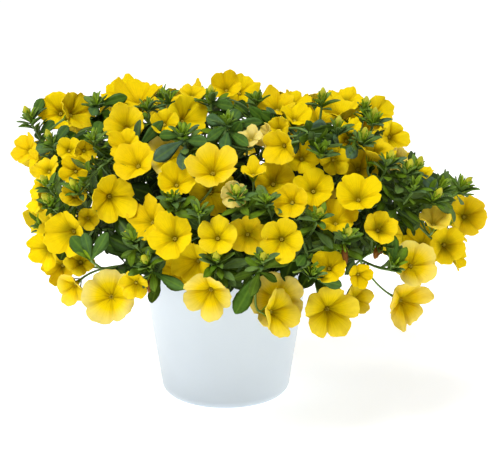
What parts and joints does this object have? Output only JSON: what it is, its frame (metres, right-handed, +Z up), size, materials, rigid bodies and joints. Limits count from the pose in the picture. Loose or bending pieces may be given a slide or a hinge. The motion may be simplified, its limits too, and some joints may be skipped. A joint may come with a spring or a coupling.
{
  "type": "calibrachoa",
  "caption": "Potted calibrachoa: a round mound of leafy stems with many open yellow funnel flowers and a few buds, in a plain tapered white pot filled with soil.",
  "frame": {"origin": "middle of the pot's flat foot", "axes": "+Z up, -Y towards the front, +X to the right as seen from the front"},
  "size_m": [0.3323, 0.3156, 0.2345],
  "materials": {
    "pot": "smooth satin",
    "soil": "loose and matte",
    "spray": "soft and slightly rough"
  },
  "bodies": {
    "root": {"pot": "pot", "soil": "soil", "spray_01": "spray", "spray_02": "spray", "spray_03": "spray", "spray_04": "spray", "spray_05": "spray", "spray_06": "spray", "spray_07": "spray", "spray_08": "spray", "spray_09": "spray", "spray_10": "spray", "spray_11": "spray", "spray_12": "spray", "spray_13": "spray", "spray_14": "spray", "spray_15": "spray", "spray_16": "spray", "spray_17": "spray", "spray_18": "spray", "spray_19": "spray", "spray_20": "spray", "spray_21": "spray", "spray_22": "spray", "spray_23": "spray", "spray_24": "spray", "spray_25": "spray", "spray_26": "spray", "spray_27": "spray", "spray_28": "spray", "spray_29": "spray", "spray_30": "spray", "spray_31": "spray", "spray_32": "spray", "spray_33": "spray", "spray_34": "spray", "spray_35": "spray", "spray_36": "spray", "spray_37": "spray", "spray_38": "spray", "spray_39": "spray", "spray_40": "spray", "spray_41": "spray", "spray_42": "spray", "spray_43": "spray", "spray_44": "spray", "spray_45": "spray", "spray_46": "spray", "spray_47": "spray", "spray_48": "spray", "spray_49": "spray", "spray_50": "spray", "spray_51": "spray", "spray_52": "spray", "spray_53": "spray", "spray_54": "spray", "spray_55": "spray"}
  },
  "joints": []
}
